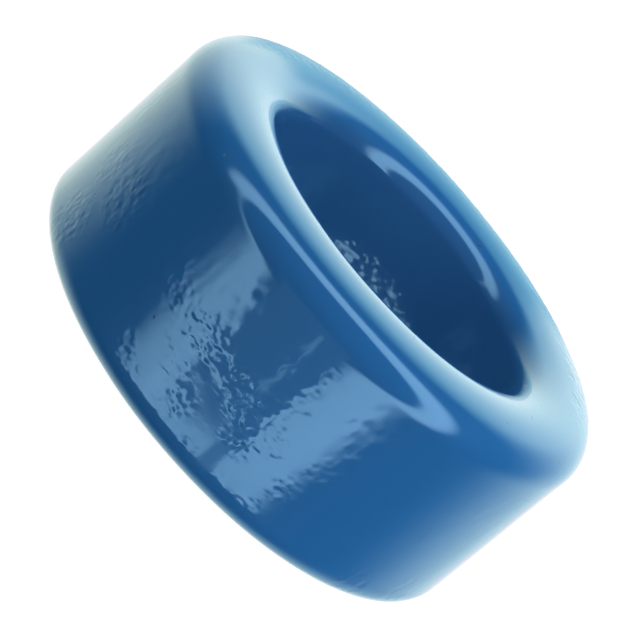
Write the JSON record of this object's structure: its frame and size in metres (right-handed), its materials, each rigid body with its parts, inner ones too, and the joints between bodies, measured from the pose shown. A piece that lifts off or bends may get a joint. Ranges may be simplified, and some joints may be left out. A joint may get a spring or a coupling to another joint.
{
  "type": "ferrite toroid core",
  "caption": "Ring-shaped magnetic core in a gloss blue epoxy coat, rounded at its rims, for winding a coil through and around.",
  "frame": {"origin": "where the bore's axis meets the lower, flat end face", "axes": "+Z along the bore's axis, from the flat end face to the crowned one; X and Y are free, because the ring is turned about Z"},
  "size_m": [0.0366, 0.0366, 0.0158],
  "materials": {
    "blue_epoxy_coat": "gloss"
  },
  "bodies": {
    "root": {"toroid_core": "blue_epoxy_coat"}
  },
  "joints": []
}
